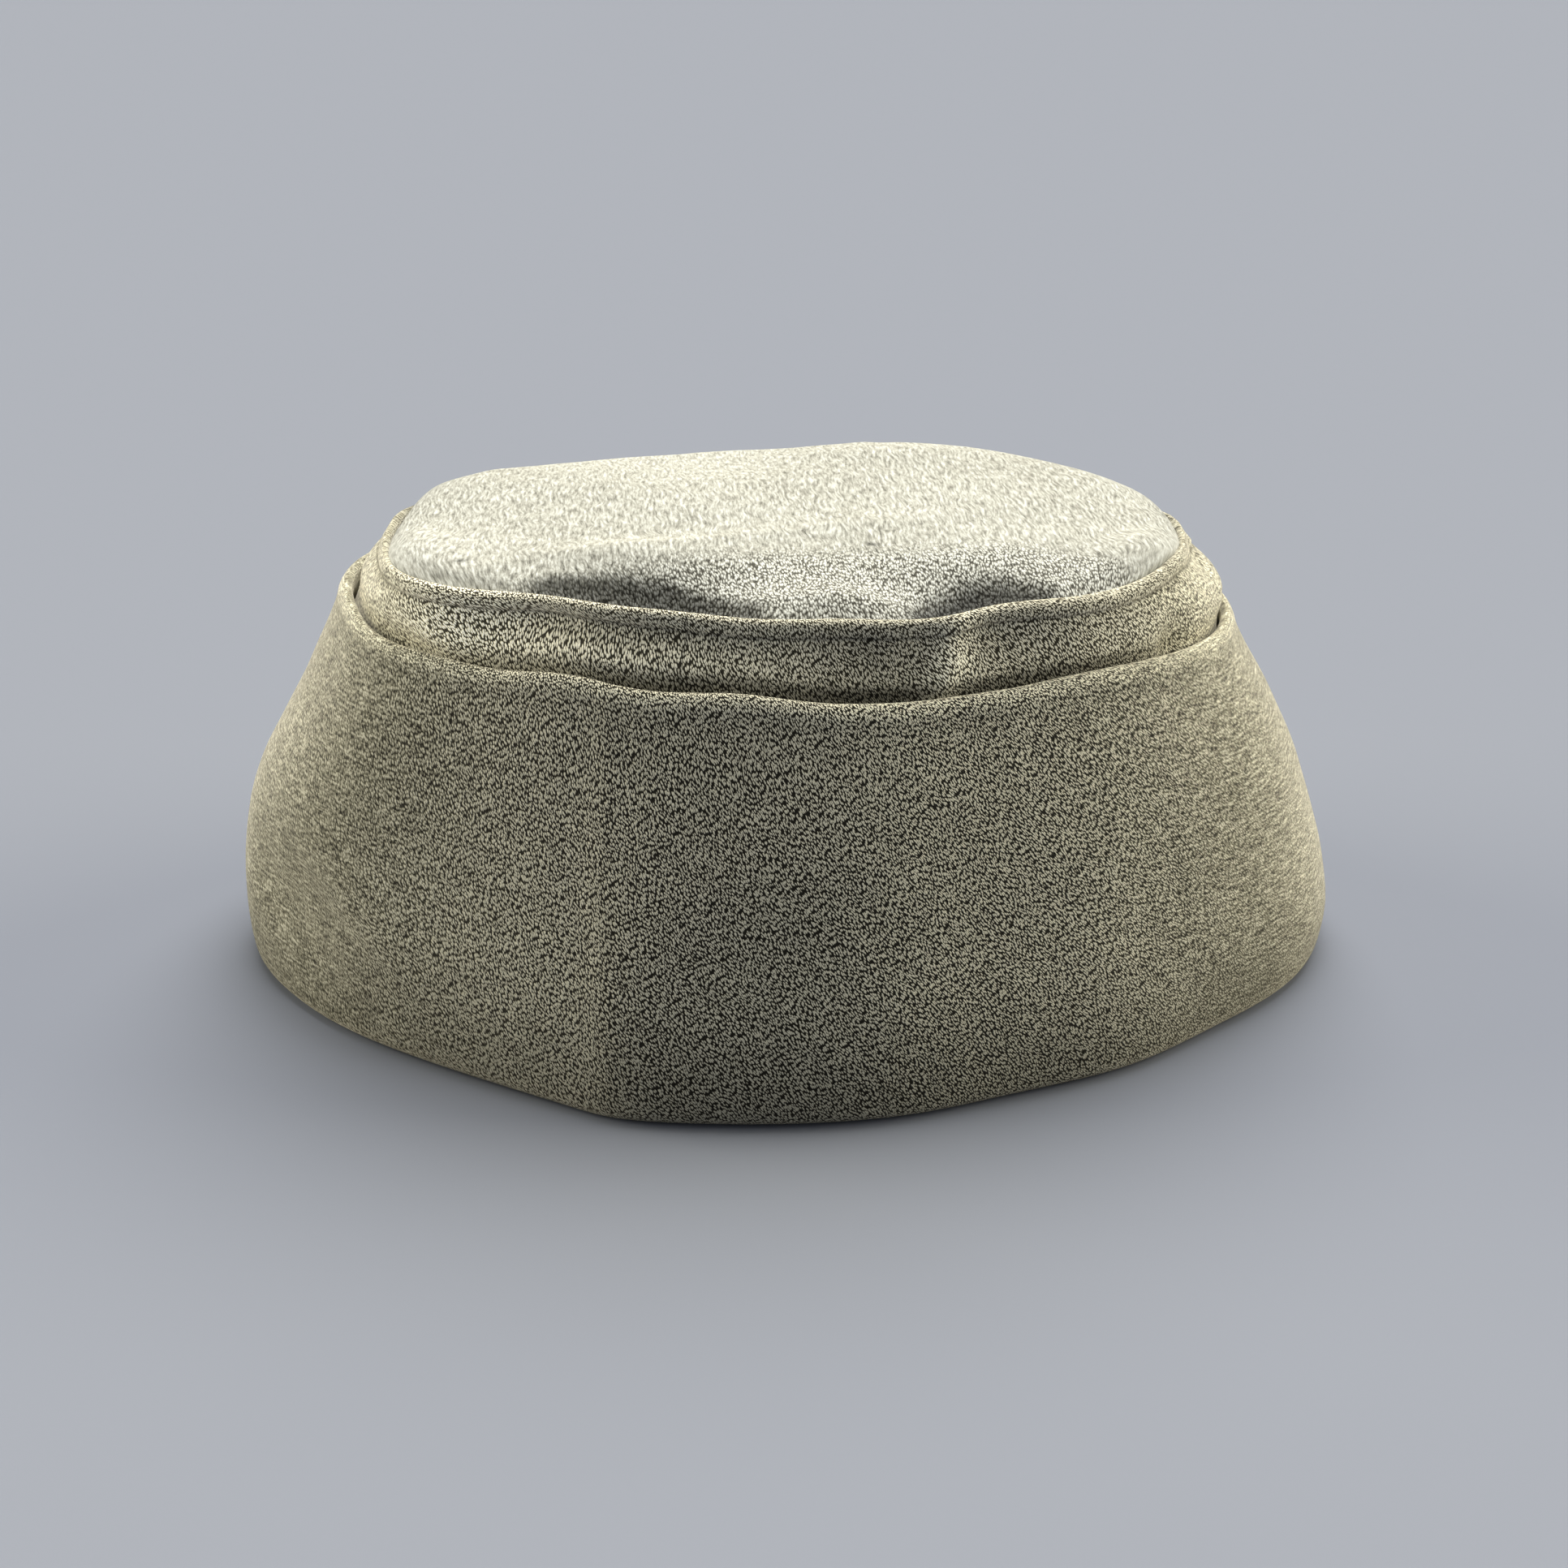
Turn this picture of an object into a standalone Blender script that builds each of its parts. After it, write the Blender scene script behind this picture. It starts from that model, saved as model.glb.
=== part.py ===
# Soft brimless field cap of wool cloth, standing on its rim: an oval crown panel, a side wall and
# a deep turned-up cuff. Metres, +Z up, X along the cap's length, Y from its near to its far side.
# The origin is at the bottom centre. Angles are in degrees, from +X towards the far side.

import math
from collections import namedtuple

import bmesh
import bpy
from mathutils import Vector

# Plan of the cuff's outer face at the rim and at its top edge, and of the wall at the crown seam
RIM_LENGTH = 0.2235
RIM_WIDTH = 0.1690
EDGE_LENGTH = 0.1745
EDGE_WIDTH = 0.1265
CROWN_LENGTH = 0.1560
CROWN_WIDTH = 0.1110
# Roundness of each plan: 2 is an ellipse, less has more pointed ends, more is squarer
RIM_POWER = 1.80
EDGE_POWER = 1.95
CROWN_POWER = 2.35

# Heights
CUFF_HEIGHT = 0.0755
BAND_HEIGHT = 0.0120
FACING_HEIGHT = 0.0120
LIP_HEIGHT = 0.0060
RIDGE_HEIGHT = 0.0026
RIDGE_SLOPE_HEIGHT = 0.0007
SWELL_HEIGHT = 0.0065
DROP_HEIGHT = 0.0006

# Cloth, clearances and rounded edges
CUFF_THICKNESS = 0.0030
WALL_THICKNESS = 0.0020
CROWN_THICKNESS = 0.0020
FACING_THICKNESS = 0.0015
RIDGE_THICKNESS = 0.0006
CLEARANCE = 0.0003
LIP_GAP = 0.0005
POCKET_GAP = 0.0020
RIM_RADIUS = 0.0028
BEND_RADIUS = 0.0012

# Where the middle point of a rounded corner lies, as a share of its radius
BEND_MIDDLE = 0.29
# How the band draws in from the cuff's edge to the seam, 1 is straight
BAND_CURVE = 1.5
# Share of the band over which its folds set in above the cuff's edge
FOLD_START = 0.3
# How late the crown's soft forms fade towards its edge
CROWN_FADE = 12

# Points round each ring, the steps over which a face's slope is taken, and the least space
# between two rows, as a share of the height
COLUMNS = 64
DEGREE_STEP = 0.5
SHARE_STEP = 1 / 250
ROW_SPACE = 1 / 100

# The cuff's side view: share of its height, and share of the way that its plan has gone from the
# rim's to the top edge's there.
Lean = namedtuple("Lean", "height inward")
CUFF_LEAN = [
    Lean(0.00, 0.00),
    Lean(0.13, 0.03),
    Lean(0.27, 0.12),
    Lean(0.40, 0.25),
    Lean(0.54, 0.38),
    Lean(0.67, 0.52),
    Lean(0.80, 0.70),
    Lean(0.90, 0.86),
    Lean(1.00, 1.00),
]

# Folds of a ring of cloth: where the middle of the fold is (angle, share of height), how far it
# reaches to each side (degrees, share of height), how far it pushes the cloth out (a share of the
# cuff's or the band's height, minus is inwards) and how it slants (degrees over the whole height).
Fold = namedtuple("Fold", "name angle reach height tall push slant")
CUFF_FOLDS = [
    Fold("swell of the left end", 182, 26, 0.44, 0.20, 0.070, 0),
    Fold("slanting hollow", 215, 7, 0.24, 0.16, -0.056, -62),
    Fold("swell under the hollow", 190, 8, 0.10, 0.16, 0.020, 0),
    Fold("swell of the right end", 0, 30, 0.40, 0.40, 0.020, 0),
    Fold("corner in the rim", 249, 6, 0.00, 0.80, 0.024, 0),
    Fold("flat before the corner", 227, 14, 0.00, 0.70, -0.028, 0),
    Fold("flat after the corner", 273, 14, 0.00, 0.60, -0.024, 0),
    Fold("flat of the near right", 302, 16, 0.00, 0.70, -0.052, 0),
    Fold("flat by the right end", 330, 12, 0.00, 0.50, -0.044, 0),
    Fold("shoulder of the top edge", 205, 11, 1.00, 0.35, 0.036, 0),
    Fold("near right swell", 308, 10, 0.30, 0.22, 0.012, 0),
    Fold("far left hollow", 128, 12, 0.55, 0.40, -0.018, 30),
    Fold("far right swell", 62, 14, 0.50, 0.35, 0.016, -20),
]
WALL_FOLDS = [
    Fold("left near corner", 206, 11, 1.00, 0.90, 0.42, 0),
    Fold("left far corner", 155, 13, 1.00, 0.80, 0.30, 0),
    Fold("hollow by the corner", 224, 7, 0.70, 0.40, -0.16, 0),
    Fold("soft roll", 240, 11, 0.30, 0.26, 0.12, 0),
    Fold("hollow under the seam", 262, 9, 0.62, 0.34, -0.10, 0),
    Fold("hollow before the crease", 281, 7, 0.45, 0.50, -0.14, 0),
    Fold("crease", 296, 4, 0.40, 0.55, 0.12, 0),
    Fold("hollow after the crease", 307, 7, 0.62, 0.34, -0.16, 0),
    Fold("left end roll", 178, 14, 0.35, 0.50, 0.20, 0),
    Fold("right end roll", 2, 16, 0.30, 0.40, 0.34, 0),
    Fold("far hollow", 110, 12, 0.50, 0.50, -0.14, 0),
]

# How far the cuff's top edge and the crown seam rise at an angle, as shares of the band's height
Lift = namedtuple("Lift", "name angle reach rise")
EDGE_LIFTS = [
    Lift("left end", 182, 30, 0.30),
    Lift("right end", 0, 30, -0.22),
]
SEAM_LIFTS = [
    Lift("left near corner", 205, 16, 0.12),
    Lift("far left sag", 132, 26, -0.20),
    Lift("far hump", 70, 22, 0.10),
]

# Soft forms of the crown panel: middle (shares of its half length and half width, minus is left
# and near), reach along and across in the same shares, and rise as a share of the crown's swell
Form = namedtuple("Form", "name along across long wide rise")
CROWN_FORMS = [
    Form("whole panel", 0.00, 0.20, 2.20, 1.20, 0.80),
    Form("far side", 0.10, 0.85, 1.20, 0.30, 0.22),
    Form("near left hollow", -0.34, -0.86, 0.24, 0.15, -1.10),
    Form("crest behind it", -0.36, -0.56, 0.26, 0.15, 0.35),
    Form("near right hollow", 0.40, -0.80, 0.18, 0.18, -1.00),
    Form("far right hump", 0.30, 0.80, 0.26, 0.24, 0.30),
    Form("far left dip", -0.20, 0.80, 0.22, 0.30, -0.15),
]

# Heights of the rows of points, as shares: up the cuff, up the wall's band, out over the crown
CUFF_ROWS = (0.13, 0.27, 0.40, 0.54, 0.67, 0.80, 0.90)
BAND_ROWS = (0.25, 0.50)
CROWN_ROWS = (0.16, 0.32, 0.46, 0.59, 0.70, 0.79, 0.87, 0.94)


def mix(a, b, share):
    return a + (b - a) * share


def bell(distance):
    return math.exp(-distance * distance)


def turn(angle, other):
    """Signed angle in degrees from other to angle, the short way round."""
    return (angle - other + 180) % 360 - 180


def outward(angle):
    return Vector((math.cos(math.radians(angle)), math.sin(math.radians(angle)), 0))


def oval(angle, length, width, power):
    """Distance from the axis to an oval plan at an angle."""
    way = outward(angle)
    x = abs(way.x) / (length / 2)
    y = abs(way.y) / (width / 2)
    return (x**power + y**power) ** (-1 / power)


def push_of(folds, angle, height):
    """Sum of the folds at a place, in shares of the height that the table follows."""
    total = 0
    for fold in folds:
        beside = turn(angle, fold.angle + fold.slant * height) / fold.reach
        above = (height - fold.height) / fold.tall
        total += fold.push * bell(beside) * bell(above)
    return total


def lift_of(lifts, angle):
    return sum(lift.rise * bell(turn(angle, lift.angle) / lift.reach) for lift in lifts)


def lean_at(height):
    """Share of the way inwards at a share of the cuff's height, between the table's rows."""
    for low, high in zip(CUFF_LEAN, CUFF_LEAN[1:]):
        if height <= high.height or high is CUFF_LEAN[-1]:
            share = (height - low.height) / (high.height - low.height)
            return mix(low.inward, high.inward, share)


def edge_height(angle):
    return CUFF_HEIGHT + BAND_HEIGHT * lift_of(EDGE_LIFTS, angle)


def seam_height(angle):
    return CUFF_HEIGHT + BAND_HEIGHT * (1 + lift_of(SEAM_LIFTS, angle))


def cuff_face(angle, height):
    """Point of the cuff's outer face at an angle and a share of its height."""
    rim = oval(angle, RIM_LENGTH, RIM_WIDTH, RIM_POWER)
    edge = oval(angle, EDGE_LENGTH, EDGE_WIDTH, EDGE_POWER)
    radius = mix(rim, edge, lean_at(height)) + CUFF_HEIGHT * push_of(CUFF_FOLDS, angle, height)
    point = outward(angle) * radius
    point.z = height * edge_height(angle)
    return point


def normal_of(face, angle, height):
    """Outward normal of a face given as a function of angle and height share."""
    along = face(angle + DEGREE_STEP, height) - face(angle - DEGREE_STEP, height)
    up = face(angle, height + SHARE_STEP) - face(angle, height - SHARE_STEP)
    return along.cross(up).normalized()


def cuff_inset(angle, height, depth):
    """Point at a depth under the cuff's outer face."""
    return cuff_face(angle, height) - normal_of(cuff_face, angle, height) * depth


def level(point, height):
    return Vector((point.x, point.y, height))


def wall_face(angle, height):
    """Point of the wall's outer face: height 0 at the floor, 1 level with the cuff's top edge and
    2 at the crown seam. Under the cuff it keeps to the cuff's inner face."""
    low = min(height, 1)
    gap = CLEARANCE + POCKET_GAP * math.sqrt(max(low, 0))
    point = cuff_inset(angle, low, CUFF_THICKNESS + gap)
    if height <= 1:
        return point
    band = height - 1
    seam = outward(angle) * oval(angle, CROWN_LENGTH, CROWN_WIDTH, CROWN_POWER)
    flat = mix(level(point, 0), seam, band**BAND_CURVE)
    push = BAND_HEIGHT * push_of(WALL_FOLDS, angle, band)
    flat += outward(angle) * push * min(1, band / FOLD_START)
    return level(flat, mix(point.z, seam_height(angle), band))


def wall_inset(angle, height, depth):
    """Point at a depth under the wall's outer face."""
    return wall_face(angle, height) - normal_of(wall_face, angle, height) * depth


def band_share(angle, drop):
    """Height value on the wall that lies a drop below the crown seam."""
    showing = seam_height(angle) - wall_face(angle, 1).z
    return 2 - drop / showing


def rounded(middle, radius, start, end, steps):
    """Points of a half circle from start over the top to end, directions given from the middle."""
    up = Vector((0, 0, 1))
    points = []
    for step in range(1, steps):
        turned = math.pi * step / steps
        side = start if turned <= math.pi / 2 else end
        points.append(middle + side * abs(math.cos(turned)) * radius + up * math.sin(turned) * radius)
    return points


def cuff_section(angle):
    """One cut through the cuff: up its outer face, over the top edge, down its inner face, round
    the slot that holds the wall, over the facing inside and back to the flat under the rim."""
    height = edge_height(angle)
    top = 1 - CUFF_THICKNESS / 2 / height
    out = normal_of(cuff_face, angle, top)
    rim = [
        level(cuff_inset(angle, 0, RIM_RADIUS), 0),
        level(cuff_inset(angle, 0, RIM_RADIUS * BEND_MIDDLE), RIM_RADIUS * BEND_MIDDLE),
        level(cuff_inset(angle, 0, 0), RIM_RADIUS),
    ]
    outer = [cuff_face(angle, row) for row in (*CUFF_ROWS, top)]
    edge = rounded(cuff_inset(angle, top, CUFF_THICKNESS / 2), CUFF_THICKNESS / 2, out, -out, 4)
    inner = [cuff_inset(angle, row, CUFF_THICKNESS) for row in (*CUFF_ROWS, top)]
    slot = WALL_THICKNESS + CLEARANCE
    high = (FACING_HEIGHT - FACING_THICKNESS / 2) / CUFF_HEIGHT
    rows = [row for row in CUFF_ROWS if row < high - ROW_SPACE] + [high]
    out = normal_of(wall_face, angle, high)
    lap = rounded(
        wall_inset(angle, high, slot + FACING_THICKNESS / 2), FACING_THICKNESS / 2, out, -out, 2
    )
    inside = slot + FACING_THICKNESS
    return [
        *rim,
        *outer,
        *edge,
        *reversed(inner),
        level(cuff_inset(angle, 0, CUFF_THICKNESS), CUFF_THICKNESS),
        level(wall_inset(angle, 0, slot), CUFF_THICKNESS),
        *[wall_inset(angle, row, slot) for row in rows],
        *lap,
        *[wall_inset(angle, row, inside) for row in reversed(rows)],
        level(wall_inset(angle, 0, inside), FACING_THICKNESS),
        level(wall_inset(angle, 0, inside - FACING_THICKNESS), 0),
    ]


def wall_section(angle):
    """One cut through the wall: up its outer face, over the thicker ridge at the crown seam and
    down its inner face."""
    foot = CUFF_THICKNESS + CLEARANCE
    ridge = band_share(angle, RIDGE_HEIGHT)
    under_ridge = band_share(angle, RIDGE_HEIGHT + RIDGE_SLOPE_HEIGHT)
    thick = WALL_THICKNESS + RIDGE_THICKNESS
    top = band_share(angle, thick / 2)
    out = normal_of(wall_face, angle, top)
    outer = [level(wall_face(angle, 0), foot)]
    outer += [wall_face(angle, row) for row in CUFF_ROWS]
    outer += [wall_face(angle, 1 + row) for row in (0, *BAND_ROWS)]
    outer.append(wall_face(angle, under_ridge))
    inner = [level(wall_inset(angle, 0, WALL_THICKNESS), foot)]
    inner += [wall_inset(angle, row, WALL_THICKNESS) for row in CUFF_ROWS]
    inner += [wall_inset(angle, 1 + row, WALL_THICKNESS) for row in (0, *BAND_ROWS)]
    inner.append(wall_inset(angle, under_ridge, WALL_THICKNESS))
    middle = wall_inset(angle, top, WALL_THICKNESS - thick / 2)
    edge = [
        wall_inset(angle, ridge, -RIDGE_THICKNESS),
        wall_inset(angle, top, -RIDGE_THICKNESS),
        *rounded(middle, thick / 2, out, -out, 4),
        wall_inset(angle, top, WALL_THICKNESS),
        wall_inset(angle, ridge, WALL_THICKNESS),
    ]
    return outer + edge + inner[::-1]


def crown_rise(angle, share):
    """Height of the crown's top face over its edge, from the table of soft forms."""
    place = outward(angle) * oval(angle, CROWN_LENGTH, CROWN_WIDTH, CROWN_POWER) * share
    rise = 0
    for form in CROWN_FORMS:
        along = (place.x / (CROWN_LENGTH / 2) - form.along) / form.long
        across = (place.y / (CROWN_WIDTH / 2) - form.across) / form.wide
        rise += form.rise * bell(along) * bell(across)
    return SWELL_HEIGHT * rise * (1 - share**CROWN_FADE)


def crown_section(angle):
    """One cut through half the crown: out over the top face, round the edge, down the lip that is
    turned in along the wall, and back under the panel."""
    depth = WALL_THICKNESS + LIP_GAP
    edge = band_share(angle, DROP_HEIGHT)
    start = band_share(angle, DROP_HEIGHT + BEND_RADIUS)
    foot = band_share(angle, DROP_HEIGHT + LIP_HEIGHT)
    corner = wall_inset(angle, edge, depth)
    way = outward(angle)
    radius = level(corner, 0).length - BEND_RADIUS
    middle_height = CUFF_HEIGHT + BAND_HEIGHT - DROP_HEIGHT
    top = []
    for row in (*CROWN_ROWS, 1):
        height = mix(middle_height, corner.z, row**2) + crown_rise(angle, row)
        top.append(level(way * radius * row, height))
    turned = band_share(angle, DROP_HEIGHT + BEND_RADIUS * BEND_MIDDLE)
    bend = wall_inset(angle, turned, depth + BEND_RADIUS * BEND_MIDDLE)
    bulge = band_share(angle, RIDGE_HEIGHT + RIDGE_SLOPE_HEIGHT)
    lip = [
        wall_inset(angle, start, depth),
        wall_inset(angle, bulge, depth),
        wall_inset(angle, foot, depth),
        wall_inset(angle, foot, depth + CROWN_THICKNESS),
    ]
    inner = level(wall_inset(angle, start, depth + CROWN_THICKNESS), 0).length
    last = CROWN_ROWS[-1]
    join = top[-2].lerp(top[-1], (inner / radius - last) / (1 - last))
    down = Vector((0, 0, CROWN_THICKNESS))
    under = [point - down for point in (join, *reversed(top[:-1]))]
    return top + [bend] + lip + under


def column_angles():
    """Angles of the columns, spaced as evenly as an oval of the rim's size allows."""
    angles = []
    for column in range(COLUMNS):
        turned = 2 * math.pi * column / COLUMNS
        x = RIM_LENGTH * math.cos(turned)
        y = RIM_WIDTH * math.sin(turned)
        angles.append(math.degrees(math.atan2(y, x)))
    return angles


def loft(name, section, closed):
    """Ring of cloth through one section at each column. A closed section joins its last row to its
    first, and an open one is filled at both ends, round the axis."""
    sections = [section(angle) for angle in column_angles()]
    mesh = bmesh.new()
    ring = bmesh.ops.create_circle(mesh, segments=COLUMNS, radius=1)["verts"]
    for vert, points in zip(ring, sections):
        vert.co = points[0]
    first = ring
    mesh.verts.index_update()
    for row in range(1, len(sections[0])):
        edges = [mesh.edges.get((ring[i - 1], ring[i])) for i in range(COLUMNS)]
        made = bmesh.ops.extrude_edge_only(mesh, edges=edges)
        new = {vert for vert in made["geom"] if isinstance(vert, bmesh.types.BMVert)}
        following = []
        for vert, points in zip(ring, sections):
            other = next(e.other_vert(vert) for e in vert.link_edges if e.other_vert(vert) in new)
            other.co = points[row]
            following.append(other)
        ring = following
    if closed:
        ends = [mesh.edges.get((r[i - 1], r[i])) for r in (first, ring) for i in range(COLUMNS)]
        bmesh.ops.bridge_loops(mesh, edges=ends)
    else:
        for loop in (first, ring):
            cap = bmesh.ops.contextual_create(mesh, geom=loop)["faces"]
            bmesh.ops.poke(mesh, faces=cap)
    bmesh.ops.recalc_face_normals(mesh, faces=mesh.faces)
    if mesh.calc_volume(signed=True) < 0:
        bmesh.ops.reverse_faces(mesh, faces=mesh.faces)
    bmesh.ops.triangulate(mesh, faces=mesh.faces, quad_method="SHORT_EDGE")
    data = bpy.data.meshes.new(name)
    mesh.to_mesh(data)
    mesh.free()
    data.shade_smooth()
    piece = bpy.data.objects.new(name, data)
    bpy.context.scene.collection.objects.link(piece)
    return piece


def wool(name, colour, roughness):
    material = bpy.data.materials.new(name)
    material.use_nodes = True
    shader = material.node_tree.nodes["Principled BSDF"]
    shader.inputs["Base Color"].default_value = (*colour, 1)
    shader.inputs["Roughness"].default_value = roughness
    shader.inputs["Metallic"].default_value = 0
    return material


def centre(pieces):
    """Put the middle of the pieces' plan on the axis and their lowest point on the floor."""
    points = [vert.co for piece in pieces for vert in piece.data.vertices]
    low = Vector([min(point[axis] for point in points) for axis in range(3)])
    high = Vector([max(point[axis] for point in points) for axis in range(3)])
    shift = Vector(((low.x + high.x) / 2, (low.y + high.y) / 2, low.z))
    for piece in pieces:
        for vert in piece.data.vertices:
            vert.co -= shift


def main():
    for old in list(bpy.data.objects):
        bpy.data.objects.remove(old, do_unlink=True)
    crown = loft("crown_top", crown_section, closed=False)
    wall = loft("side_wall", wall_section, closed=True)
    cuff = loft("cuff", cuff_section, closed=True)
    crown.data.materials.append(wool("crown cloth", (0.44, 0.42, 0.34), 0.95))
    wall.data.materials.append(wool("wall cloth", (0.27, 0.26, 0.20), 0.95))
    cuff.data.materials.append(wool("cuff cloth", (0.24, 0.23, 0.18), 0.95))
    centre([crown, wall, cuff])


main()
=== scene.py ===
import math

import bmesh
import bpy
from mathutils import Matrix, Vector, noise


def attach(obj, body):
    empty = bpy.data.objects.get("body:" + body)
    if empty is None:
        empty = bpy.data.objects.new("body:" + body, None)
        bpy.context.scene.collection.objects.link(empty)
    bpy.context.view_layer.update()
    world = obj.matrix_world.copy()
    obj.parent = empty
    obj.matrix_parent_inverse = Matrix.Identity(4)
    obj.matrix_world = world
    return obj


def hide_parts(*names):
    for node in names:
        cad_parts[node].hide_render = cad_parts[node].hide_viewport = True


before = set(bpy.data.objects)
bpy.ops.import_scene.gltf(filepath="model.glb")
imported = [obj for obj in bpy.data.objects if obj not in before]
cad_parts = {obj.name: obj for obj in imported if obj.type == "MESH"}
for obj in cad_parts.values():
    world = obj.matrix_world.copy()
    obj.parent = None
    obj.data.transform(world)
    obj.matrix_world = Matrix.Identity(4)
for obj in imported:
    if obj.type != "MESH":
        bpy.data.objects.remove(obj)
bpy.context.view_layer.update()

# Soft wool field cap on a pale floor. Metres, the cap stands on z = 0 and its long side faces -Y.
# Tables of folds are in millimetres and degrees, angles from +X towards the far side.
mm = 0.001
scene = bpy.context.scene
# subdivisions of every piece of cloth
clothLevels = 2


# Small helpers

# linear colour of an sRGB hex code
def srgb(code):
    parts = [int(code[i:i + 2], 16) / 255 for i in (0, 2, 4)]
    return (*[p / 12.92 if p <= 0.04045 else ((p + 0.055) / 1.055) ** 2.4 for p in parts], 1)


# 1 at no distance, nearly 0 from 2 on
def bell(distance):
    return math.exp(-distance * distance)


# 0 to 1 as value goes from start to end, with soft ends
def fade(value, start, end):
    share = min(1, max(0, (value - start) / (end - start)))
    return share * share * (3 - 2 * share)


# degrees from other to angle, the short way round
def turnTo(angle, other):
    return (angle - other + 180) % 360 - 180


# degrees from +X towards the far side
def angleOf(place):
    return math.degrees(math.atan2(place.y, place.x)) % 360


# a shader node with its own settings, its inputs filled or linked
def addNode(tree, kind, settings=None, inputs=None):
    made = tree.nodes.new(kind)
    for key, value in (settings or {}).items():
        setattr(made, key, value)
    for key, value in (inputs or {}).items():
        if isinstance(value, bpy.types.NodeSocket):
            tree.links.new(value, made.inputs[key])
        else:
            made.inputs[key].default_value = value
    return made


# Making and shaping cloth

# a CAD node's mesh copied into a new piece, merged and back in quads, then subdivided
def clothFrom(node, name):
    mesh = bmesh.new()
    mesh.from_mesh(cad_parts[node].data)
    bmesh.ops.remove_doubles(mesh, verts=mesh.verts, dist=0.005 * mm)
    bmesh.ops.join_triangles(
        mesh, faces=mesh.faces, angle_face_threshold=math.pi, angle_shape_threshold=math.pi,
        topology_influence=2,
    )
    bmesh.ops.recalc_face_normals(mesh, faces=mesh.faces)
    data = bpy.data.meshes.new(name)
    mesh.to_mesh(data)
    mesh.free()
    piece = bpy.data.objects.new(name, data)
    scene.collection.objects.link(piece)
    refine = piece.modifiers.new("refine", "SUBSURF")
    refine.levels = refine.render_levels = clothLevels
    applied(piece)
    return piece


# turn the piece's modifiers into plain mesh
def applied(piece):
    graph = bpy.context.evaluated_depsgraph_get()
    data = bpy.data.meshes.new_from_object(piece.evaluated_get(graph))
    piece.modifiers.clear()
    old = piece.data
    piece.data = data
    data.name = piece.name
    bpy.data.meshes.remove(old)
    data.shade_smooth()


# the farthest value of each degree round a piece, smoothed, in mm
def roundOf(piece, measured):
    most = [0.0] * 360
    for vert in piece.data.vertices:
        degree, value = int(angleOf(vert.co)), measured(vert.co) / mm
        for near in (degree - 1, degree, degree + 1):
            most[near % 360] = max(most[near % 360], value)
    return [sum(most[(d + k) % 360] for k in (-1, 0, 1)) / 3 for d in range(360)]


# a value of roundOf at any angle, between its two nearest degrees
def roundAt(values, angle):
    degree = angle - 0.5
    share = degree - math.floor(degree)
    first = math.floor(degree) % 360
    return values[first] * (1 - share) + values[(first + 1) % 360] * share


# put each vertex where moved(place) says; cloth(place) gives its place on the flat cloth in mm
# and napAndPaintedLight(place) its lightness, which is painted light and shade and a few lint
# marks, its crispness and how far its fibres are drawn out; around is the length of a ring of cloth
# in mm, 0 for a panel, and keeps a face's corners on one turn of the ring
def sculpt(piece, moved, cloth, napAndPaintedLight, around):
    data = piece.data
    flat = [cloth(vert.co) for vert in data.vertices]
    look = data.attributes.new("napAndPaintedLight", "FLOAT_VECTOR", "POINT")
    for vert in data.vertices:
        look.data[vert.index].vector = napAndPaintedLight(vert.co)
    for layer in list(data.uv_layers):
        data.uv_layers.remove(layer)
    layer = data.uv_layers.new(name="cloth")
    for face in data.polygons:
        first = flat[face.vertices[0]][0]
        for loop in face.loop_indices:
            along, up = flat[data.loops[loop].vertex_index]
            if around:
                along += around * round((first - along) / around)
            layer.data[loop].uv = (along * mm, up * mm)
    for vert in data.vertices:
        vert.co = moved(vert.co)
    data.update()


# place of a ring's vertices on its flat cloth, which also runs over its top edge and under its rim
def ringCloth(piece, tops, around):
    # outer radius of what lies just under the top edge, 0 elsewhere
    def edgeRadius(place):
        return place.xy.length if roundAt(tops, angleOf(place)) - place.z / mm < 2.5 else 0

    rims, edges = roundOf(piece, lambda place: place.xy.length), roundOf(piece, edgeRadius)

    def cloth(place):
        angle, z, out = angleOf(place), place.z / mm, place.xy.length / mm
        under = roundAt(tops, angle) - z
        over = fade(under, 2, 0.4) * max(0, roundAt(edges, angle) - out)
        below = fade(z, 3, 0.5) * max(0, roundAt(rims, angle) - out)
        return turnTo(angle, 270) * around / 360, over - under - below

    return cloth


# sum of the folds of a ring of cloth at an angle and height, in mm outwards
def ringPush(folds, angle, z):
    total = 0
    for name, middle, height, reach, tall, push, slant in folds:
        beside = turnTo(angle, middle + slant * (z - height)) / reach
        if abs(beside) < 3:
            total += push * bell(beside) * bell((z - height) / tall)
    return total


# sum of the folds of the crown at a place, in mm upwards
def panelRise(folds, x, y):
    total = 0
    for name, middleX, middleY, long, wide, turned, rise in folds:
        cos, sin = math.cos(math.radians(turned)), math.sin(math.radians(turned))
        along = (x - middleX) * cos + (y - middleY) * sin
        across = (y - middleY) * cos - (x - middleX) * sin
        total += rise * bell(along / long) * bell(across / wide)
    return total


# soft random undulation: size is the distance between its waves, both in mm
def ripple(place, size, height):
    return height * noise.noise(place / (size * mm))


# dress the piece in its material, attach it to the root and hide the CAD node it replaces
def finishPiece(piece, node, material):
    piece.data.materials.clear()
    piece.data.materials.append(material)
    for face in piece.data.polygons:
        face.material_index = 0
    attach(piece, "root")
    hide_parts(node)


# Wool of light and dark fibres spun together, fulled and napped: a speckled, matt face

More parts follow.
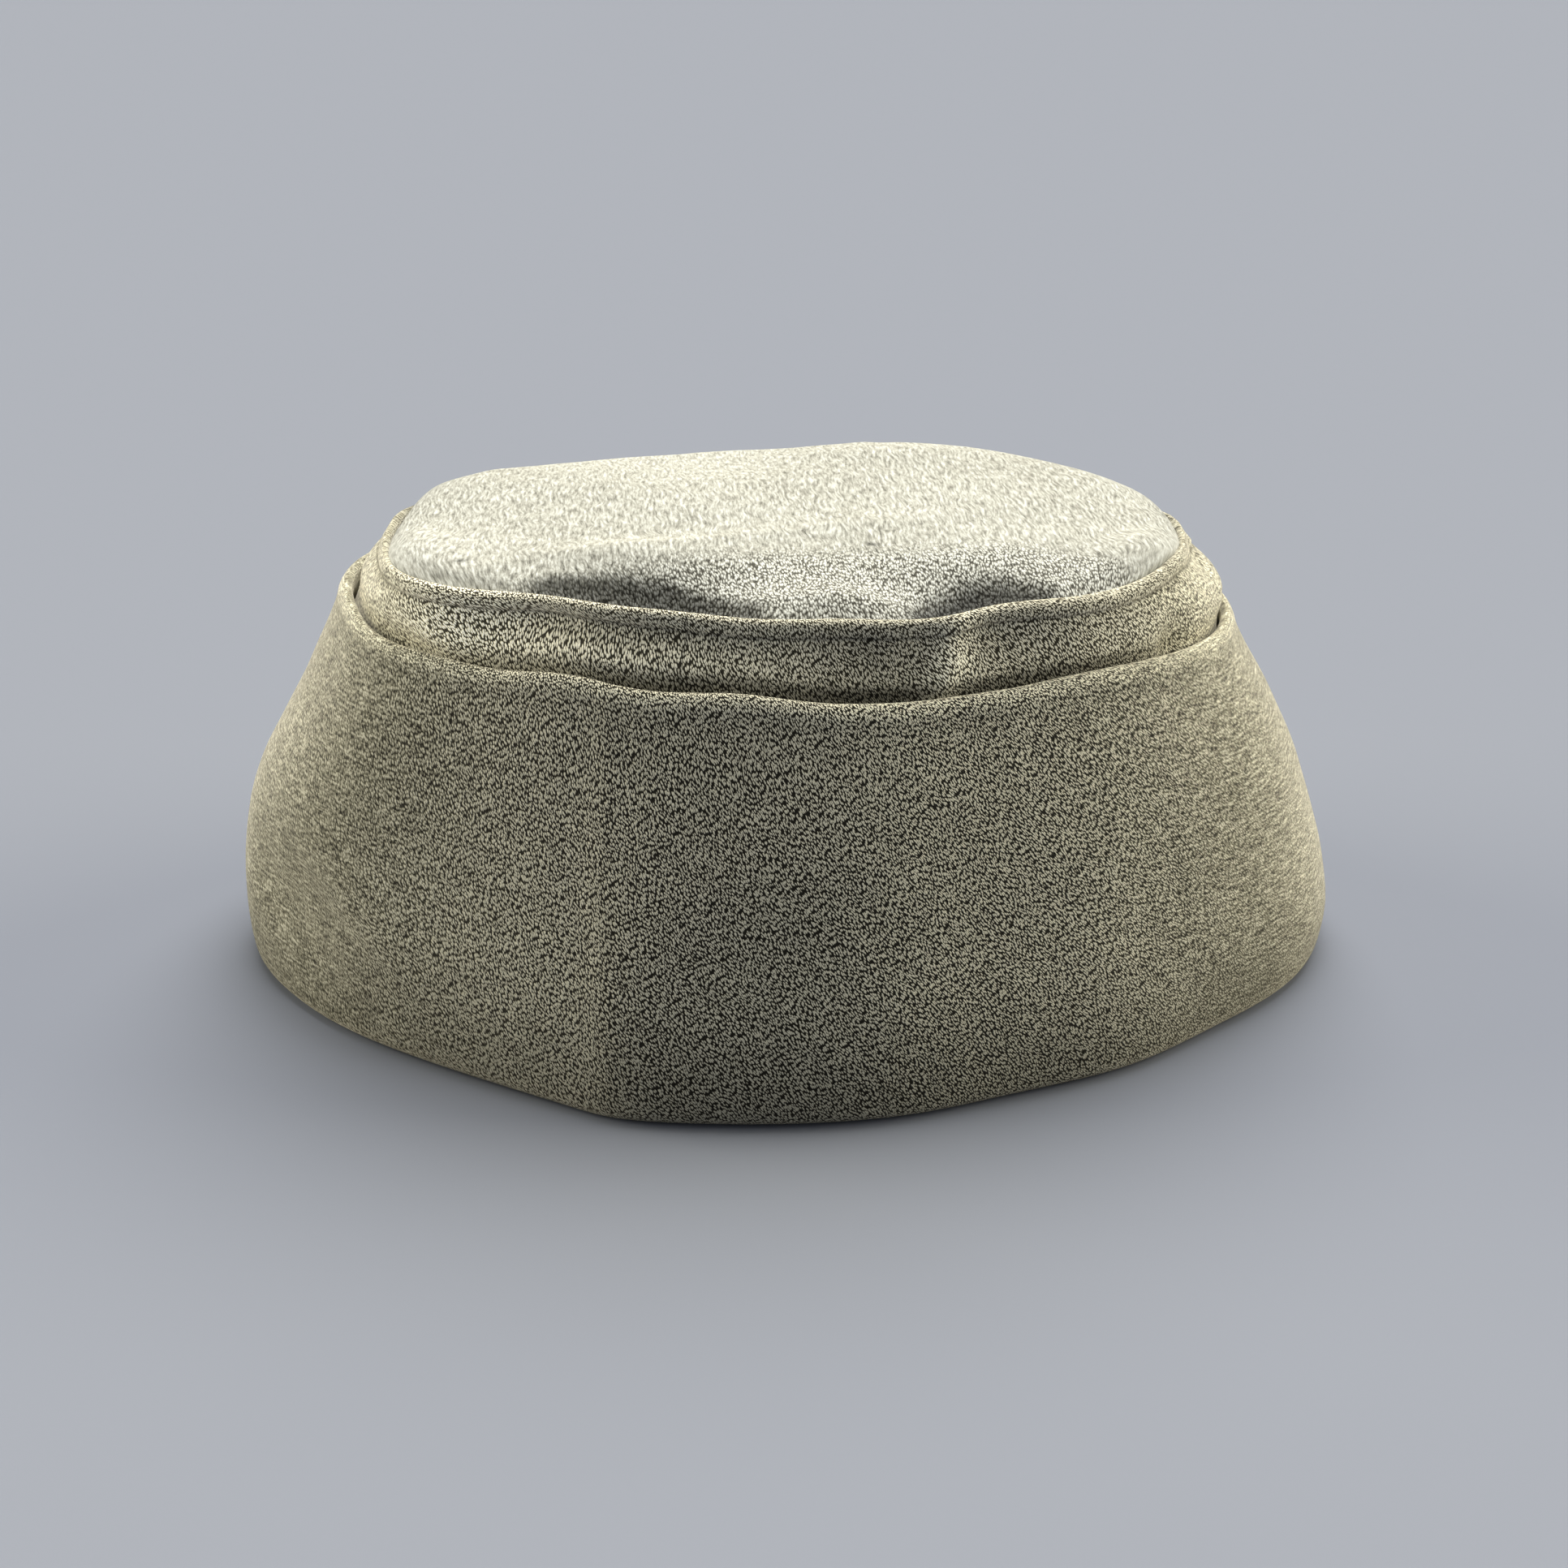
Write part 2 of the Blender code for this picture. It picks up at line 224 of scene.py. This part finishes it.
# Small leaning loops of light and dark fibre with dark gaps between them, drawn out into streaks
# where the nap is brushed, over broad faded patches. No gloss, only the sheen of the nap.
# Sizes in a look are in mm. Loops are as big as in the photograph on wall and cuff, and a little
# coarser on the crown, so that they show.
def melange(name, look):
    material = bpy.data.materials.new(name)
    material.use_nodes = True
    tree = material.node_tree
    shader = tree.nodes["Principled BSDF"]
    place = addNode(tree, "ShaderNodeTexCoord").outputs["Object"]
    cloth = addNode(tree, "ShaderNodeUVMap", {"uv_map": "cloth"}).outputs[0]
    napAndPaintedLight = addNode(tree, "ShaderNodeAttribute", {"attribute_name": "napAndPaintedLight"})
    napAndPaintedLight = addNode(tree, "ShaderNodeSeparateXYZ", inputs={0: napAndPaintedLight.outputs["Vector"]})
    paintedLightAndMarks, crispness, drawnOut = napAndPaintedLight.outputs

    # the cloth is a little uneven, so the loops wander
    wander = addNode(tree, "ShaderNodeTexNoise", inputs={
        "Vector": place, "Scale": 1 / (look["wanderSize"] * mm), "Detail": 1.0,
    })
    off = addNode(tree, "ShaderNodeVectorMath", {"operation": "SUBTRACT"}, {
        0: wander.outputs["Color"], 1: (0.5, 0.5, 0.5),
    })
    wandered = addNode(tree, "ShaderNodeVectorMath", {"operation": "MULTIPLY_ADD"}, {
        0: off.outputs[0], 1: [look["wander"] * mm] * 3, 2: cloth,
    })

    # each pattern is stretched to its own size and turned on the cloth
    laid = {}
    for pattern, turn in [
        ("loop", "lean"), ("fibre", "lean"), ("drawn", "drawnTurn"), ("streak", "drawnTurn"),
    ]:
        wide, tall = look[pattern + "Size"]
        laid[pattern] = addNode(tree, "ShaderNodeMapping", {"vector_type": "TEXTURE"}, {
            "Vector": wandered.outputs[0], "Rotation": (0, 0, math.radians(look[turn])),
            "Scale": (wide * mm, tall * mm, 1),
        }).outputs[0]
    noises = {}
    for pattern, detail in [("fibre", 2.0), ("drawn", 4.0), ("streak", 3.0)]:
        noises[pattern] = addNode(tree, "ShaderNodeTexNoise", {"noise_dimensions": "2D"}, {
            "Vector": laid[pattern], "Scale": 1.0, "Detail": detail, "Roughness": 0.6,
        }).outputs[0]
    loops = addNode(tree, "ShaderNodeTexVoronoi", {
        "feature": "F1", "voronoi_dimensions": "2D",
    }, {
        "Vector": laid["loop"], "Scale": 1.0, "Randomness": look["loopRandom"],
    })
    loopTone = addNode(tree, "ShaderNodeSeparateColor", inputs={0: loops.outputs["Color"]})
    gap = addNode(tree, "ShaderNodeMapRange", {"interpolation_type": "SMOOTHSTEP"}, {
        "Value": loops.outputs["Distance"], "From Min": 0.15, "From Max": 0.65,
        "To Min": 0.0, "To Max": 1.0,
    }).outputs[0]
    patches = addNode(tree, "ShaderNodeTexNoise", inputs={
        "Vector": place, "Scale": 1 / (look["patchSize"] * mm), "Detail": 2.0,
    }).outputs[0]

    # start plus each pattern's distance from its middle value, times its amount
    def weighed(start, parts):
        total = start - sum(middle * amount for pattern, middle, amount in parts)
        for pattern, middle, amount in parts:
            total = addNode(tree, "ShaderNodeMath", {"operation": "MULTIPLY_ADD"}, {
                0: pattern, 1: amount, 2: total,
            }).outputs[0]
        return total

    # grain of the loops, or drawn-out fibres instead
    grain = addNode(tree, "ShaderNodeMix", {"data_type": "FLOAT"}, {
        "Factor": drawnOut,
        2: weighed(0, [
            (loopTone.outputs[0], 0.5, look["loopTone"]),
            (gap, 0.45, -look["gapTone"]),
            (noises["fibre"], 0.5, look["fibreTone"]),
        ]),
        3: weighed(0, [(noises["drawn"], 0.5, look["drawnTone"])]),
    })
    crisp = addNode(tree, "ShaderNodeMath", {"operation": "MULTIPLY"}, {
        0: grain.outputs[0], 1: crispness,
    })
    tone = weighed(0.5, [
        (crisp.outputs[0], 0, 1),
        (noises["streak"], 0.5, look["streakTone"]),
        (patches, 0.5, look["patchTone"]),
    ])
    ramp = addNode(tree, "ShaderNodeValToRGB", inputs={0: tone})
    stops = ramp.color_ramp.elements
    stops[0].position, stops[0].color = 0.0, srgb(look["dark"])
    stops[1].position, stops[1].color = 1.0, srgb(look["light"])
    middleStop = stops.new(0.5)
    middleStop.color = srgb(look["middle"])
    # the colour is scaled by the painted light and shade, which also carries the crown's lint marks
    dyed = addNode(tree, "ShaderNodeVectorMath", {"operation": "SCALE"}, {
        0: ramp.outputs[0], "Scale": paintedLightAndMarks,
    }).outputs[0]

    # sewn lines: axis of the cloth that they cross, their place and half width in mm, darkness
    flat = addNode(tree, "ShaderNodeSeparateXYZ", inputs={0: cloth})
    for axis, at, half, darkness in look["sewn"]:
        near = addNode(tree, "ShaderNodeMath", {"operation": "ABSOLUTE"}, {
            0: weighed(0, [(flat.outputs[axis], at * mm, 1)]),
        })
        line = addNode(tree, "ShaderNodeMapRange", {"interpolation_type": "SMOOTHSTEP"}, {
            "Value": near.outputs[0], "From Min": 0.0, "From Max": half * mm,
            "To Min": 1 - darkness, "To Max": 1.0,
        })
        dyed = addNode(tree, "ShaderNodeVectorMath", {"operation": "SCALE"}, {
            0: dyed, "Scale": line.outputs[0],
        }).outputs[0]
    tree.links.new(dyed, shader.inputs["Base Color"])

    # loops stand proud of the gaps
    height = addNode(tree, "ShaderNodeMix", {"data_type": "FLOAT"}, {
        "Factor": drawnOut,
        2: weighed(0, [(noises["fibre"], 0, look["fibreHeight"]), (gap, 0, -look["gapDepth"])]),
        3: weighed(0, [(noises["drawn"], 0, look["fibreHeight"])]),
    })
    bump = addNode(tree, "ShaderNodeBump", inputs={
        "Height": height.outputs[0], "Strength": look["bump"], "Distance": 1 * mm,
    })
    tree.links.new(bump.outputs[0], shader.inputs["Normal"])

    # dry wool: no gloss, and the nap's sheen follows the painted light, fading where shade is
    # painted, as in the hollows
    shader.inputs["Roughness"].default_value = 0.95
    shader.inputs["Specular IOR Level"].default_value = 0.1
    sheen = addNode(tree, "ShaderNodeMath", {"operation": "MULTIPLY", "use_clamp": True}, {
        0: paintedLightAndMarks, 1: look["sheen"],
    })
    tree.links.new(sheen.outputs[0], shader.inputs["Sheen Weight"])
    shader.inputs["Sheen Roughness"].default_value = 0.4
    shader.inputs["Sheen Tint"].default_value = srgb(look["sheenTint"])
    return material


# Camera: the photograph looks a little down on the cap's long side

camera = {
    "target": (-0.8 * mm, 0, 31.7 * mm),
    "distance": 0.50,
    "elevation": 24,
    "lens": 55.36,
}


def makeCamera():
    data = bpy.data.cameras.new("camera")
    data.lens = camera["lens"]
    data.sensor_width = 36
    data.clip_start = 0.01
    made = bpy.data.objects.new("camera", data)
    raised = math.radians(camera["elevation"])
    back = Vector((0, -math.cos(raised), math.sin(raised)))
    made.location = Vector(camera["target"]) + back * camera["distance"]
    made.rotation_euler = (math.radians(90 - camera["elevation"]), 0, 0)
    scene.collection.objects.link(made)
    scene.camera = made
    print("camera:", camera["elevation"], "degrees up")


# Floor and soft studio light: strong from above and a little behind, weak on the near side

studio = {
    "floorColour": "7a7e88",
    "airColour": "eceff5",
    "airStrength": 0.35,
    # name, where it comes from, width in degrees, power, colour
    "suns": [
        ("key from above and behind", (0.10, 0.50, 0.87), 55, 4.9, "fffdf8"),
        ("left edge", (-0.92, 0.18, 0.32), 40, 2.9, "fff7dc"),
        ("right edge", (0.92, 0.20, 0.32), 40, 3.3, "fff7dc"),
    ],
}


def makeStudio():
    mesh = bmesh.new()
    bmesh.ops.create_grid(mesh, x_segments=1, y_segments=1, size=8)
    data = bpy.data.meshes.new("floor")
    mesh.to_mesh(data)
    mesh.free()
    floor = bpy.data.objects.new("floor", data)
    floor.location.z = -0.05 * mm
    scene.collection.objects.link(floor)
    paper = bpy.data.materials.new("studio_paper_matte_grey")
    paper.use_nodes = True
    shader = paper.node_tree.nodes["Principled BSDF"]
    shader.inputs["Base Color"].default_value = srgb(studio["floorColour"])
    shader.inputs["Roughness"].default_value = 1.0
    shader.inputs["Specular IOR Level"].default_value = 0.0
    data.materials.append(paper)
    for name, source, width, power, colour in studio["suns"]:
        light = bpy.data.lights.new(name, "SUN")
        light.angle = math.radians(width)
        light.energy = power
        light.color = srgb(colour)[:3]
        sun = bpy.data.objects.new(name, light)
        sun.location = source
        sun.rotation_euler = Vector(source).to_track_quat("Z", "Y").to_euler()
        scene.collection.objects.link(sun)
    world = bpy.data.worlds.new("air")
    world.use_nodes = True
    back = world.node_tree.nodes["Background"]
    back.inputs["Color"].default_value = srgb(studio["airColour"])
    back.inputs["Strength"].default_value = studio["airStrength"]
    scene.world = world
    scene.view_settings.view_transform = "Standard"
    print("studio:", len(studio["suns"]), "lights")


# Shared by the pieces

# share of the far side at an angle: there the crown puffs over the wall's edge
def farSide(angle):
    return fade(abs(turnTo(angle, 88)), 88, 60)


# share of the ends and the far side at an angle: there crown and wall run into each other
def farOrEnd(angle):
    return fade(abs(turnTo(angle, 90)), 128, 106)


# sum of the lifts of an edge at an angle, in mm
def edgeLift(lifts, angle):
    return sum(lift * bell(turnTo(angle, middle) / reach) for name, middle, reach, lift in lifts)


# the seam of crown and wall rides up and down: name, angle, reach, lift
seamLifts = [
    ("left corner", 205, 11, 1.0),
    ("near left", 230, 12, 1.8),
    ("near middle", 247, 14, 1.9),
    ("middle", 275, 12, 0.7),
    ("near right", 312, 14, 1.3),
    ("right corner", 343, 10, 1.3),
]


# Crown panel

crown = {
    "flat": (0.124, 0.170),
    "area": 0.0164,
    "look": {
        # colours lighter than the cuff's: partly painted light, where the top light falls on the
        # crown
        "dark": "373630", "middle": "97978f", "light": "d2d4cf",
        "loopSize": (0.45, 1.3), "lean": 6, "loopRandom": 1.0, "fibreSize": (0.3, 1.2),
        "drawnSize": (0.62, 3.2), "drawnTurn": 5, "streakSize": (1.4, 9),
        "wanderSize": 6, "wander": 1.8, "patchSize": 40,
        "loopTone": 0.35, "gapTone": 0.65, "fibreTone": 1.1, "drawnTone": 3.2,
        "streakTone": 0.35, "patchTone": 0.25,
        "gapDepth": 0.22, "fibreHeight": 0.25, "bump": 0.6,
        "sheen": 0.4, "sheenTint": "fffdf4", "sewn": [],
    },
    # height in mm that the flat cloth is measured down from, and heights from which the top ends
    # and at which the turned-down lip begins
    "level": 90, "lip": (86, 82.5),
    # rises and overhangs towards the edge
    "farPuff": 0.4, "endRise": 2.4, "nearSink": 0.9, "endOver": 0.7, "farOver": 1.9,
    # crispness of the brushed middle, what the near side adds, how drawn out the middle is, and
    # the share of crispness that the ends and the far edge lose
    "crisp": 0.60, "frontCrisp": 0.65, "drawnOut": 0.85, "matted": 0.5,
    # name, x, y, reach along, reach across, turned, rise
    "folds": [
        ("slack line", -4, -17, 40, 3.0, 20, 0.5),
        ("dip behind the slack line", -8, -8, 40, 6.0, 20, -0.5),
        ("full front", 10, -46, 20, 7, 0, 1.8),
        ("far middle", 10, 46, 38, 20, 0, -1.9),
    ],
    # hollows in front of an upper edge, sunk and darkened with painted shade: name, x and y of
    # points along that edge, how soft the painted shade's edge is, lightness added as painted
    # shade, drop
    "hollows": [
        ("left lens",
         [(-50, -41), (-44, -37.5), (-31, -35.5), (-22, -36), (-12, -40.5), (-2, -48)],
         1.6, -0.70, 2.6),
        ("right hollow",
         [(19, -44), (26, -36.5), (33, -32.5), (40, -32.5), (46, -36), (54, -44)],
         4.5, -0.84, 2.0),
        ("crease at the seam",
         [(-9, -52), (0, -51), (14, -50.5), (26, -51), (34, -52)],
         1.5, -0.5, 0.0),
    ],
    # x and y of points along the line where the brushed nap of the middle ends
    "front": [
        (-64, -46), (-40, -37), (-20, -30), (0, -25), (20, -22), (42, -20), (58, -25), (78, -42),
    ],
    # lint and thread marks and a slightly lighter brushed front: name, x, y, reach along, reach
    # across, turned, lightness added
    "paintedShadesAndMarks": [
        ("brushed front", -6, -34, 40, 8, 12, 0.08),
        ("lint", -60.8, -31.6, 1.3, 0.9, 30, -0.8),
        ("lint", 15.8, -20.7, 1.0, 1.3, 60, -0.8),
        ("thread", 76.6, 6.4, 0.9, 2.6, 60, -0.7),
    ],
}


# height of a line of points over x, and how far x is from its ends, from 0 to 1
def edgeLine(points, x):
    for (startX, startY), (endX, endY) in zip(points, points[1:]):
        if startX <= x < endX:
            height = startY + (endY - startY) * (x - startX) / (endX - startX)
            first, last = points[0][0], points[-1][0]
            return height, fade(x, first, first + 5) * fade(x, last, last - 5)
    return 0, 0


# each hollow at a place: its share of painted shade and its depth from 0 to 1, then the painted
# shade's lightness and drop
def hollowsAt(x, y):
    for name, points, soft, light, drop in crown["hollows"]:
        height, ends = edgeLine(points, x)
        if ends and y < height:
            yield ends * fade(height - y, 0, soft), ends * fade(height - y, 0, 5), light, drop


def makeCrown():
    piece = clothFrom("crown_top", "crown_panel")
    edges = roundOf(piece, lambda place: place.xy.length)

    # mm from the panel's edge to a place
    def insetOf(place):
        return roundAt(edges, angleOf(place)) - place.xy.length / mm

    def moved(place):
        angle, inset, (x, y, z) = angleOf(place), insetOf(place), place / mm
        out = place.xy.normalized().to_3d()
        far, ended, lip = farSide(angle), farOrEnd(angle), crown["lip"]
        top = fade(z, lip[1], lip[0])
        rise = panelRise(crown["folds"], x, y) * fade(inset, 2, 8)
        for shaded, sunk, paintedShade, drop in hollowsAt(x, y):
            rise -= sunk * drop * fade(inset, 1.2, 3.5)
        rise += ripple(place, 16, 0.5) * fade(inset, 1, 8) + ripple(place, 6, 0.12)
        rise += edgeLift(seamLifts, angle) * fade(inset, 18, 2)
        rise += crown["farPuff"] * far * top * fade(inset, 14, 3)
        rise += crown["endRise"] * (ended - 0.6 * far) * top * fade(inset, 16, 3)
        rise -= crown["nearSink"] * (1 - ended) * top * fade(inset, 5, 1.5)
        over = (crown["endOver"] * ended + crown["farOver"] * far) * top * fade(inset, 9, 0)
        return place + (out * over + Vector((0, 0, rise))) * mm

    # the flat cloth runs down the slopes all round
    def cloth(place):
        x, y, z = moved(place) / mm
        down = crown["level"] - z
        along = fade(x, 45, 75) - fade(-x, 45, 75)
        across = (fade(y, 0, 20) - fade(-y, 0, 20)) * (1 - abs(along))
        return x + down * along, y + down * across

    def napAndPaintedLight(place):
        x, y, z = place / mm
        height, ends = edgeLine(crown["front"], x)
        front = ends * fade(height - y, -5, 7)
        # lightness: darker lint and thread marks and a slightly lighter brushed front
        light = 1 + panelRise(crown["paintedShadesAndMarks"], x, y)
        # painted shade in the hollows
        for shaded, sunk, paintedShade, drop in hollowsAt(x, y):
            light += shaded * paintedShade
        matted = crown["matted"] * farOrEnd(angleOf(place)) * fade(insetOf(place), 6, 1)
        crisp = (crown["crisp"] + crown["frontCrisp"] * front) * (1 - matted)
        return light, crisp, crown["drawnOut"] * (1 - front)

    sculpt(piece, moved, cloth, napAndPaintedLight, 0)
    finishPiece(
        piece, "crown_top", melange("melange_wool_crown_napped", crown["look"]),
    )
    print("crown panel:", len(piece.data.polygons), "faces")


# Cuff

cuff = {
    "flat": (0.090, 0.620),
    "area": 0.0505,
    # length of the ring of cloth, in mm
    "round": 520,
    "look": {
        # colours darker than the crown's and the wall's: partly painted shade, on this side that
        # gets less light
        "dark": "1a1914", "middle": "807d6a", "light": "d8d4bf",
        "loopSize": (0.33, 0.82), "lean": 36, "loopRandom": 0.85, "fibreSize": (0.3, 0.8),
        "drawnSize": (2.8, 0.5), "drawnTurn": 0, "streakSize": (10, 1.8),
        "wanderSize": 6, "wander": 1.0, "patchSize": 45,
        "loopTone": 0.95, "gapTone": 1.75, "fibreTone": 1.5, "drawnTone": 2.8,
        "streakTone": 0.38, "patchTone": 0.25,
        "gapDepth": 0.28, "fibreHeight": 0.25, "bump": 0.8,
        "sheen": 0.72, "sheenTint": "fff6e0", "sewn": [],
    },
    # the rolled top edge: how far under the top it is fullest, half its height, its push
    "roll": (1.5, 1.8, 0.45),
    # painted highlight that the rolled edge gains and painted shade that darkens the cuff towards
    # its rim on the floor
    "paintedEdgeHighlight": 0.60, "paintedRimShade": 0.36,
    # crispness in the middle of the near side, what the ends lose of it, and how drawn out they are
    "crisp": 1.38, "endSoft": 0.55, "drawnOut": 0.7,
    # name, angle, reach, lift
    "lifts": [
        ("left end", 214, 9, 0.8),
        ("near left", 235, 12, 3.0),
        ("near middle", 260, 14, 2.4),
        ("right end", 322, 18, 1.0),
    ],
    # name, angle, z, reach, tall, push, slant in degrees per mm
    "folds": [
        ("crease up from the corner", 245.2, 40, 1.3, 60, 0.30, -0.09),
        ("left of the crease", 241.5, 40, 2.6, 50, -0.25, -0.09),
        ("slanting hollow", 205, 25, 4.0, 9, -1.0, -0.9),
        ("swell under the hollow", 193, 16, 6.0, 7, 0.7, -0.8),
        ("fuller left end", 180, 25, 25, 30, 0.8, 0),
        ("fuller right end", 2, 25, 35, 30, 1.5, 0),
    ],
    # painted shade in the crease, the slanting hollow and the high parts, and a painted highlight
    # on the right edge: name, angle, z, reach, tall, lightness added, slant
    "paintedShadesAndMarks": [
        ("crease", 245.6, 40, 0.8, 60, -0.15, -0.09),
        ("slanting hollow", 205, 25, 3.0, 8, -0.12, -0.9),
        ("left part, high", 208, 52, 14, 18, -0.2, 0),
        ("right part, high", 332, 48, 12, 18, -0.08, 0),
        ("right edge", 352, 30, 9, 60, 0.15, 0),
    ],
}


# returns the height of its top edge at each degree
def makeCuff():
    piece = clothFrom("cuff", "turned_cuff")
    tops = roundOf(piece, lambda place: place.z)

    def moved(place):
        angle, z = angleOf(place), place.z / mm
        under, free = roundAt(tops, angle) - z, fade(z, 0, 12)
        fullest, half, roll = cuff["roll"]
        push = ringPush(cuff["folds"], angle, z) * free + roll * bell((under - fullest) / half)
        push += (ripple(place, 30, 0.7) + ripple(place, 9, 0.16)) * free
        pushed = place + place.xy.normalized().to_3d() * push * mm
        rise = ripple(pushed, 14, 0.2) * fade(under, 12, 0)
        rise += edgeLift(cuff["lifts"], angle) * fade(under, 22, 1)
        return pushed + Vector((0, 0, rise)) * mm

    def napAndPaintedLight(place):
        angle, z = angleOf(place), place.z / mm
        under, aside = roundAt(tops, angle) - z, abs(turnTo(angle, 270))
        # painted light and shade: the table's painted shade and highlight, a painted highlight on
        # the rolled edge and painted shade towards the rim
        light = 1 + ringPush(cuff["paintedShadesAndMarks"], angle, z)
        light += cuff["paintedEdgeHighlight"] * fade(under, 3.2, 1.8) - cuff["paintedRimShade"] * fade(z, 28, 0)
        crisp = cuff["crisp"] - cuff["endSoft"] * fade(aside, 18, 50)
        return light, crisp, cuff["drawnOut"] * fade(aside, 30, 72)

    sculpt(piece, moved, ringCloth(piece, tops, cuff["round"]), napAndPaintedLight, cuff["round"])
    finishPiece(
        piece, "cuff", melange("melange_wool_cuff_napped", cuff["look"]),
    )
    print("cuff:", len(piece.data.polygons), "faces")
    return tops


# Side wall

# the seam's stitches, in mm under the wall's top edge
stitchLine = 3.0

wall = {
    "flat": (0.090, 0.600),
    "area": 0.0460,
    # length of the ring of cloth, in mm
    "round": 440,
    "look": {
        # colours lighter than the cuff's: partly painted light
        "dark": "2b2921", "middle": "9f9b86", "light": "e2decb",
        "loopSize": (0.32, 0.78), "lean": 34, "loopRandom": 0.85, "fibreSize": (0.3, 0.8),
        "drawnSize": (2.6, 0.5), "drawnTurn": 0, "streakSize": (9, 1.6),
        "wanderSize": 5, "wander": 1.0, "patchSize": 30,
        "loopTone": 0.75, "gapTone": 1.45, "fibreTone": 1.4, "drawnTone": 2.0,
        "streakTone": 0.3, "patchTone": 0.25,
        "gapDepth": 0.25, "fibreHeight": 0.25, "bump": 0.7,
        "sheen": 0.6, "sheenTint": "fff6e0",
        "sewn": [
            (1, -stitchLine, 0.6, 0.5),
            (0, -21.9, 0.55, 0.5),
        ],
    },
    # push of the slope down to the cuff, depth of the stitched groove, how far the edge is pulled
    # in at the ends and more at the far side, and how far the far side's edge hangs
    "slope": 2.2, "groove": 0.35, "endIn": 0.7, "farIn": 0.6, "farDrop": 3.4,
    # painted highlight on the near edge, painted shade on the edge elsewhere, and painted shadow
    # just over the cuff
    "paintedEdgeHighlight": 0.28, "paintedFarEdgeShade": -0.12, "cuffShadow": 0.65,
    "crisp": 1.3, "drawnOut": 0.6,
    # name, angle, z, reach, tall, push, slant in degrees per mm
    "folds": [
        ("join seam", 252.1, 81, 0.5, 9, -0.6, 0.05),
        ("left of the join", 250.4, 80, 1.1, 9, 0.35, 0.05),
        ("right of the join", 253.8, 80, 1.1, 9, 0.30, 0.05),
        ("soft roll", 243, 79.3, 15, 2.3, 0.9, 0.0),
        ("hollow over the roll", 240, 83.6, 14, 1.8, -0.9, 0.0),
        ("dent under the seam, left", 228, 84.6, 6, 2.2, -0.9, 0.0),
        ("crease", 297.0, 80, 1.6, 8, 0.9, 0.4),
        ("left of the crease", 292.5, 81, 3.2, 6, -0.9, 0.4),
        ("dent under the seam, right", 306, 83.5, 5, 2.2, -0.9, 0.2),
        ("pleat at the right end", 357, 83, 1.3, 6, 1.0, 0.5),
        ("beside the pleat", 0, 83, 1.5, 6, -0.9, 0.5),
        ("pocket, left", 206, 77, 5, 5, -1.9, 0.0),
        ("pocket, right", 337, 74, 3, 4, -1.9, 0.0),
    ],
    # painted highlights where the wall catches the light and painted shade on its dark middle:
    # name, angle, z, reach, tall, lightness added, slant
    "paintedShadesAndMarks": [
        ("bright left end", 196, 81, 16, 20, 0.3, 0),
        ("bright left part", 214, 80, 13, 9, 1.25, 0),
        ("roll on the left", 238, 79, 14, 3.0, 0.45, 0),
        ("middle", 262, 80, 14, 9, 0.15, 0),
        ("dark middle", 284, 81, 9, 9, -0.22, 0.3),
        ("strip by the crease", 297.8, 80, 3.2, 9, 0.75, 0.4),
        ("bright right end", 345, 80, 16, 20, 0.3, 0),
    ],
}


def makeWall(cuffTops):
    piece = clothFrom("side_wall", "wall_band")
    tops = roundOf(piece, lambda place: place.z)

    def moved(place):
        angle, z = angleOf(place), place.z / mm
        under, far = roundAt(tops, angle) - z, farSide(angle)
        shown = fade(under, 30, 16)
        push = ringPush(wall["folds"], angle, z) * shown * fade(under, 0, 2)
        push += wall["slope"] * fade(under, 1, 12) * fade(under, 27, 16)
        push += (ripple(place, 14, 0.5) + ripple(place, 5, 0.12)) * shown
        push -= wall["groove"] * bell((under - stitchLine) / 0.6) * (1 - far)
        push -= (wall["endIn"] * farOrEnd(angle) + wall["farIn"] * far) * fade(under, 8, 2)
        rise = 0.3 * fade(under, 3, 0) - wall["farDrop"] * far * fade(under, 9, 0)
        rise += edgeLift(seamLifts, angle) * fade(under, 14, 2)
        return place + (place.xy.normalized().to_3d() * push + Vector((0, 0, rise))) * mm

    def napAndPaintedLight(place):
        angle, z = angleOf(place), place.z / mm
        # painted light and shade: the table's painted highlights and shade, a painted highlight on
        # the near top edge, painted shade on it elsewhere and a painted shadow just over the cuff
        near = 1 - farOrEnd(angle)
        paintedEdgeLight = wall["paintedEdgeHighlight"] * near + wall["paintedFarEdgeShade"] * (1 - near)
        light = 1 + ringPush(wall["paintedShadesAndMarks"], angle, z)
        light += paintedEdgeLight * fade(roundAt(tops, angle) - z, 1.4, 0.6)
        over = z - roundAt(cuffTops, angle) - edgeLift(cuff["lifts"], angle)
        light -= wall["cuffShadow"] * fade(over, 2.2, 0.6) * near
        return light, wall["crisp"], wall["drawnOut"] * fade(abs(turnTo(angle, 270)), 40, 75)

    sculpt(piece, moved, ringCloth(piece, tops, wall["round"]), napAndPaintedLight, wall["round"])
    finishPiece(
        piece, "side_wall", melange("melange_wool_wall_napped", wall["look"]),
    )
    print("wall band:", len(piece.data.polygons), "faces")


makeCamera()
makeStudio()
makeCrown()
cuffTops = makeCuff()
makeWall(cuffTops)
